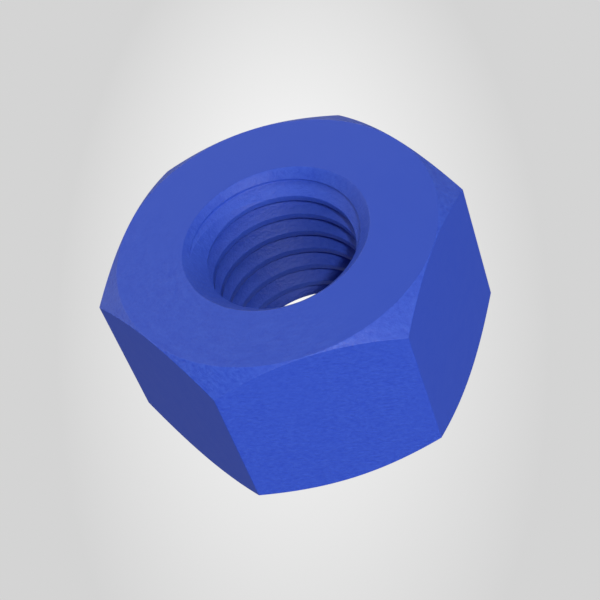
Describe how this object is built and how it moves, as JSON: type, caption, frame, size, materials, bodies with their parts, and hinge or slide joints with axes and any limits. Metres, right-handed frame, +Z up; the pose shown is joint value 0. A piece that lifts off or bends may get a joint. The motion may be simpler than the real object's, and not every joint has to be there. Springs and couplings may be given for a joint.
{
  "type": "heavy hex nut",
  "caption": "Heavy hex nut in blue-coated steel, chamfered on both faces, with a countersunk right-hand threaded bore that clamps a bolted joint.",
  "frame": {"origin": "middle of the lower bearing face, on the bore axis", "axes": "+Z up along the bore axis, +X towards a corner, +Y square to a pair of flats"},
  "size_m": [0.0366, 0.0318, 0.0187],
  "materials": {
    "coating": "satin"
  },
  "bodies": {
    "root": {"hex_nut": "coating"}
  },
  "joints": []
}
